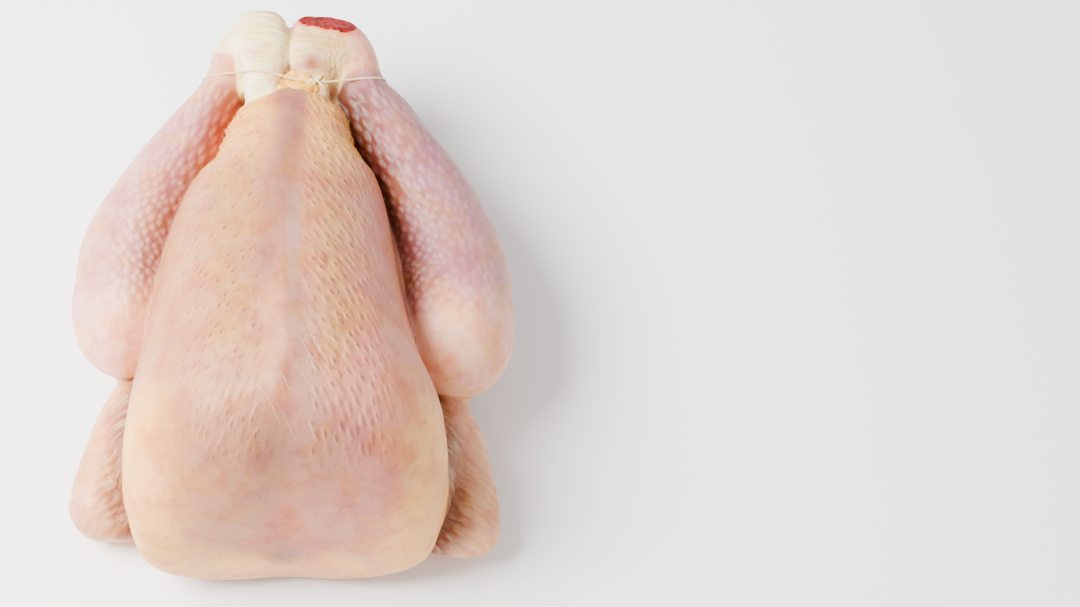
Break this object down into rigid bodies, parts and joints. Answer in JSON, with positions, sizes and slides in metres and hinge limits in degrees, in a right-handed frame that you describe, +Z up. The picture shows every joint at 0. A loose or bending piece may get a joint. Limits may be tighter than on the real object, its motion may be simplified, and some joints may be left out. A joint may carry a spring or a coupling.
{
  "type": "whole raw turkey",
  "caption": "Whole plucked raw turkey lying on its back, breast up, with folded wings and the hocks tied together by a loop of string.",
  "frame": {"origin": "under the middle of the bounding box, on the surface the bird lies on", "axes": "+Y from the neck end to the tail end, +Z up, +X to the right seen from the neck end"},
  "size_m": [0.3016, 0.3903, 0.19],
  "materials": {
    "skin": "moist satin",
    "string": "matt twisted cotton"
  },
  "bodies": {
    "root": {"turkey": "skin", "tying_string": "string"}
  },
  "joints": []
}
